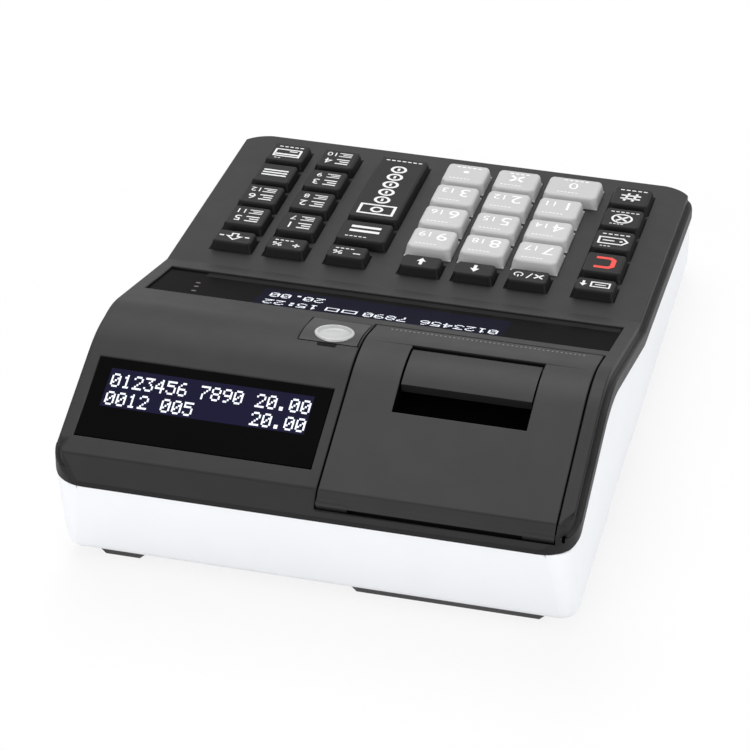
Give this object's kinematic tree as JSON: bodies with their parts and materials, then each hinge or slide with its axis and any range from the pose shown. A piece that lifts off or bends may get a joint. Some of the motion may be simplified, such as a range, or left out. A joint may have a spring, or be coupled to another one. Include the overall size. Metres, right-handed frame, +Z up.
{
  "type": "cash register",
  "caption": "Compact desktop cash register: white base, black top shell, sprung keyboard, two displays, hinged paper lid over a receipt printer.",
  "frame": {"origin": "centre of the bounding box at the surface it stands on", "axes": "+Z up, the operator's keyboard at -Y, the customer's display and paper lid at +Y"},
  "size_m": [0.172, 0.248, 0.0666],
  "materials": {
    "white_case": "satin",
    "black_case": "satin",
    "lever_plastic": "satin",
    "key_black": "satin",
    "key_grey": "satin",
    "window_acrylic": "gloss",
    "display_glass": "gloss",
    "steel": "satin",
    "rubber": "matte",
    "gear_nylon": "satin",
    "ceramic_head": "satin",
    "motor_can": "satin",
    "cradle_plastic": "matte",
    "paper": "matte",
    "silicone": "matte",
    "circuit_board": "satin",
    "battery_wrap": "satin",
    "seal_plastic": "satin",
    "foot_rubber": "matte"
  },
  "bodies": {
    "case": {"base_shell": "white_case", "top_shell": "black_case", "lid_hinge_pins": "steel", "printer_frame": "steel", "thermal_head": "ceramic_head", "feed_motor": "motor_can", "paper_cradle": "cradle_plastic", "customer_window": "window_acrylic", "customer_display": "display_glass", "operator_window": "window_acrylic", "operator_display": "display_glass", "key_mat": "silicone", "key_board": "circuit_board", "main_board": "circuit_board", "battery_pack": "battery_wrap", "seal_cover": "black_case", "seal_plug": "seal_plastic", "foot_pads": "foot_rubber", "case_screws": "steel"},
    "lid": {"paper_lid": "black_case", "lever_pin": "steel", "tear_bar": "black_case"},
    "lever": {"lid_lever": "lever_plastic"},
    "platen": {"platen_roller": "rubber", "platen_gear": "gear_nylon"},
    "drive": {"drive_gear": "gear_nylon"},
    "roll": {"paper_roll": "paper"},
    "key_7_cap": {"key_7": "key_grey"},
    "key_8_cap": {"key_8": "key_grey"},
    "key_9_cap": {"key_9": "key_grey"},
    "key_4_cap": {"key_4": "key_grey"},
    "key_5_cap": {"key_5": "key_grey"},
    "key_6_cap": {"key_6": "key_grey"},
    "key_1_cap": {"key_1": "key_grey"},
    "key_2_cap": {"key_2": "key_grey"},
    "key_3_cap": {"key_3": "key_grey"},
    "key_multiply_cap": {"key_multiply": "key_grey"},
    "key_point_cap": {"key_point": "key_grey"},
    "key_0_cap": {"key_0": "key_grey"},
    "key_feed_cap": {"key_feed": "key_black"},
    "key_clear_cap": {"key_clear": "key_black"},
    "key_price_cap": {"key_price": "key_black"},
    "key_void_cap": {"key_void": "key_black"},
    "key_code_cap": {"key_code": "key_black"},
    "key_power_cap": {"key_power": "key_black"},
    "key_up_cap": {"key_up": "key_black"},
    "key_down_cap": {"key_down": "key_black"},
    "key_plus_percent_cap": {"key_plus_percent": "key_black"},
    "key_item_1_cap": {"key_item_1": "key_black"},
    "key_item_2_cap": {"key_item_2": "key_black"},
    "key_item_3_cap": {"key_item_3": "key_black"},
    "key_item_4_cap": {"key_item_4": "key_black"},
    "key_shift_cap": {"key_shift": "key_black"},
    "key_item_5_cap": {"key_item_5": "key_black"},
    "key_item_6_cap": {"key_item_6": "key_black"},
    "key_menu_cap": {"key_menu": "key_black"},
    "key_card_cap": {"key_card": "key_black"},
    "key_minus_percent_cap": {"key_minus_percent": "key_black"},
    "key_total_cap": {"key_total": "key_black"},
    "key_cash_cap": {"key_cash": "key_black"}
  },
  "joints": [
    {"name": "lid_hinge", "type": "hinge", "parent": "case", "child": "lid", "pos_m": [-0.0407, 0.1201, 0.0434], "axis": [-1, 0, 0], "range_deg": [0, 90]},
    {"name": "lever_pivot", "type": "hinge", "parent": "lid", "child": "lever", "pos_m": [-0.0407, 0.05918, 0.06315], "axis": [1, 0, 0], "range_deg": [0, 35], "stiffness_Nm_per_rad": 0.02, "springref_deg": -17.19},
    {"name": "platen_turn", "type": "hinge", "parent": "lid", "child": "platen", "pos_m": [-0.0407, 0.04579, 0.0524], "axis": [1, 0, 0], "continuous": true},
    {"name": "drive_turn", "type": "hinge", "parent": "case", "child": "drive", "pos_m": [-0.0407, 0.04579, 0.0404], "axis": [1, 0, 0], "continuous": true},
    {"name": "roll_turn", "type": "hinge", "parent": "case", "child": "roll", "pos_m": [-0.0407, 0.086, 0.0277], "axis": [1, 0, 0], "continuous": true},
    {"name": "key_7_press", "type": "slide", "parent": "case", "child": "key_7_cap", "axis": [0, -0.0976, 0.9952], "range_m": [-0.002, 0], "stiffness_N_per_m": 300, "springref_m": 0.0005},
    {"name": "key_8_press", "type": "slide", "parent": "case", "child": "key_8_cap", "axis": [0, -0.0976, 0.9952], "range_m": [-0.002, 0], "stiffness_N_per_m": 300, "springref_m": 0.0005},
    {"name": "key_9_press", "type": "slide", "parent": "case", "child": "key_9_cap", "axis": [0, -0.0976, 0.9952], "range_m": [-0.002, 0], "stiffness_N_per_m": 300, "springref_m": 0.0005},
    {"name": "key_4_press", "type": "slide", "parent": "case", "child": "key_4_cap", "axis": [0, -0.0976, 0.9952], "range_m": [-0.002, 0], "stiffness_N_per_m": 300, "springref_m": 0.0005},
    {"name": "key_5_press", "type": "slide", "parent": "case", "child": "key_5_cap", "axis": [0, -0.0976, 0.9952], "range_m": [-0.002, 0], "stiffness_N_per_m": 300, "springref_m": 0.0005},
    {"name": "key_6_press", "type": "slide", "parent": "case", "child": "key_6_cap", "axis": [0, -0.0976, 0.9952], "range_m": [-0.002, 0], "stiffness_N_per_m": 300, "springref_m": 0.0005},
    {"name": "key_1_press", "type": "slide", "parent": "case", "child": "key_1_cap", "axis": [0, -0.0976, 0.9952], "range_m": [-0.002, 0], "stiffness_N_per_m": 300, "springref_m": 0.0005},
    {"name": "key_2_press", "type": "slide", "parent": "case", "child": "key_2_cap", "axis": [0, -0.0976, 0.9952], "range_m": [-0.002, 0], "stiffness_N_per_m": 300, "springref_m": 0.0005},
    {"name": "key_3_press", "type": "slide", "parent": "case", "child": "key_3_cap", "axis": [0, -0.0976, 0.9952], "range_m": [-0.002, 0], "stiffness_N_per_m": 300, "springref_m": 0.0005},
    {"name": "key_multiply_press", "type": "slide", "parent": "case", "child": "key_multiply_cap", "axis": [0, -0.0976, 0.9952], "range_m": [-0.002, 0], "stiffness_N_per_m": 300, "springref_m": 0.0005},
    {"name": "key_point_press", "type": "slide", "parent": "case", "child": "key_point_cap", "axis": [0, -0.0976, 0.9952], "range_m": [-0.002, 0], "stiffness_N_per_m": 300, "springref_m": 0.0005},
    {"name": "key_0_press", "type": "slide", "parent": "case", "child": "key_0_cap", "axis": [0, -0.0976, 0.9952], "range_m": [-0.002, 0], "stiffness_N_per_m": 300, "springref_m": 0.0005},
    {"name": "key_feed_press", "type": "slide", "parent": "case", "child": "key_feed_cap", "axis": [0, -0.0976, 0.9952], "range_m": [-0.002, 0], "stiffness_N_per_m": 300, "springref_m": 0.0005},
    {"name": "key_clear_press", "type": "slide", "parent": "case", "child": "key_clear_cap", "axis": [0, -0.0976, 0.9952], "range_m": [-0.002, 0], "stiffness_N_per_m": 300, "springref_m": 0.0005},
    {"name": "key_price_press", "type": "slide", "parent": "case", "child": "key_price_cap", "axis": [0, -0.0976, 0.9952], "range_m": [-0.002, 0], "stiffness_N_per_m": 300, "springref_m": 0.0005},
    {"name": "key_void_press", "type": "slide", "parent": "case", "child": "key_void_cap", "axis": [0, -0.0976, 0.9952], "range_m": [-0.002, 0], "stiffness_N_per_m": 300, "springref_m": 0.0005},
    {"name": "key_code_press", "type": "slide", "parent": "case", "child": "key_code_cap", "axis": [0, -0.0976, 0.9952], "range_m": [-0.002, 0], "stiffness_N_per_m": 300, "springref_m": 0.0005},
    {"name": "key_power_press", "type": "slide", "parent": "case", "child": "key_power_cap", "axis": [0, -0.0976, 0.9952], "range_m": [-0.002, 0], "stiffness_N_per_m": 300, "springref_m": 0.0005},
    {"name": "key_up_press", "type": "slide", "parent": "case", "child": "key_up_cap", "axis": [0, -0.0976, 0.9952], "range_m": [-0.002, 0], "stiffness_N_per_m": 300, "springref_m": 0.0005},
    {"name": "key_down_press", "type": "slide", "parent": "case", "child": "key_down_cap", "axis": [0, -0.0976, 0.9952], "range_m": [-0.002, 0], "stiffness_N_per_m": 300, "springref_m": 0.0005},
    {"name": "key_plus_percent_press", "type": "slide", "parent": "case", "child": "key_plus_percent_cap", "axis": [0, -0.0976, 0.9952], "range_m": [-0.002, 0], "stiffness_N_per_m": 300, "springref_m": 0.0005},
    {"name": "key_item_1_press", "type": "slide", "parent": "case", "child": "key_item_1_cap", "axis": [0, -0.0976, 0.9952], "range_m": [-0.002, 0], "stiffness_N_per_m": 300, "springref_m": 0.0005},
    {"name": "key_item_2_press", "type": "slide", "parent": "case", "child": "key_item_2_cap", "axis": [0, -0.0976, 0.9952], "range_m": [-0.002, 0], "stiffness_N_per_m": 300, "springref_m": 0.0005},
    {"name": "key_item_3_press", "type": "slide", "parent": "case", "child": "key_item_3_cap", "axis": [0, -0.0976, 0.9952], "range_m": [-0.002, 0], "stiffness_N_per_m": 300, "springref_m": 0.0005},
    {"name": "key_item_4_press", "type": "slide", "parent": "case", "child": "key_item_4_cap", "axis": [0, -0.0976, 0.9952], "range_m": [-0.002, 0], "stiffness_N_per_m": 300, "springref_m": 0.0005},
    {"name": "key_shift_press", "type": "slide", "parent": "case", "child": "key_shift_cap", "axis": [0, -0.0976, 0.9952], "range_m": [-0.002, 0], "stiffness_N_per_m": 300, "springref_m": 0.0005},
    {"name": "key_item_5_press", "type": "slide", "parent": "case", "child": "key_item_5_cap", "axis": [0, -0.0976, 0.9952], "range_m": [-0.002, 0], "stiffness_N_per_m": 300, "springref_m": 0.0005},
    {"name": "key_item_6_press", "type": "slide", "parent": "case", "child": "key_item_6_cap", "axis": [0, -0.0976, 0.9952], "range_m": [-0.002, 0], "stiffness_N_per_m": 300, "springref_m": 0.0005},
    {"name": "key_menu_press", "type": "slide", "parent": "case", "child": "key_menu_cap", "axis": [0, -0.0976, 0.9952], "range_m": [-0.002, 0], "stiffness_N_per_m": 300, "springref_m": 0.0005},
    {"name": "key_card_press", "type": "slide", "parent": "case", "child": "key_card_cap", "axis": [0, -0.0976, 0.9952], "range_m": [-0.002, 0], "stiffness_N_per_m": 300, "springref_m": 0.0005},
    {"name": "key_minus_percent_press", "type": "slide", "parent": "case", "child": "key_minus_percent_cap", "axis": [0, -0.0976, 0.9952], "range_m": [-0.002, 0], "stiffness_N_per_m": 300, "springref_m": 0.0005},
    {"name": "key_total_press", "type": "slide", "parent": "case", "child": "key_total_cap", "axis": [0, -0.0976, 0.9952], "range_m": [-0.002, 0], "stiffness_N_per_m": 300, "springref_m": 0.0005},
    {"name": "key_cash_press", "type": "slide", "parent": "case", "child": "key_cash_cap", "axis": [0, -0.0976, 0.9952], "range_m": [-0.002, 0], "stiffness_N_per_m": 300, "springref_m": 0.0005}
  ],
  "couplings": [
    {"joint": "drive_turn", "follows": "platen_turn", "ratio": -1}
  ]
}
